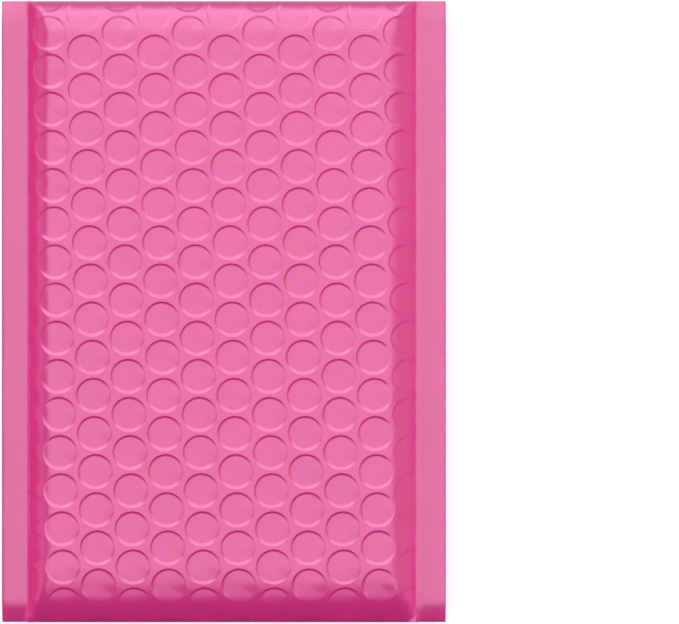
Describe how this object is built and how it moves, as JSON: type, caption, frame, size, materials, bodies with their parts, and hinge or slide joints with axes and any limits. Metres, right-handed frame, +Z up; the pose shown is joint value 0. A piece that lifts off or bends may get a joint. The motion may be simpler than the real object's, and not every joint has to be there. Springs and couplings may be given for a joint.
{
  "type": "padded envelope",
  "caption": "Pink bubble-lined plastic mailing envelope with sealed side seams, lying flat with its glued flap folded over the mouth.",
  "frame": {"origin": "under the middle of the envelope, on the surface it lies on", "axes": "+Z up through the front face, +Y towards the folded mouth end, +X to the right as seen on the front"},
  "size_m": [0.13, 0.182, 0.012],
  "materials": {
    "pink_film": "satin polyethylene film",
    "clear_bubble_sheet": "clear polyethylene bubble sheet",
    "hot_melt_glue": "tacky hot-melt glue",
    "liner_paper": "silicone-coated release liner"
  },
  "bodies": {
    "root": {"outer_film": "pink_film", "bubble_lining": "clear_bubble_sheet", "glue_strip": "hot_melt_glue", "release_liner": "liner_paper"}
  },
  "joints": []
}
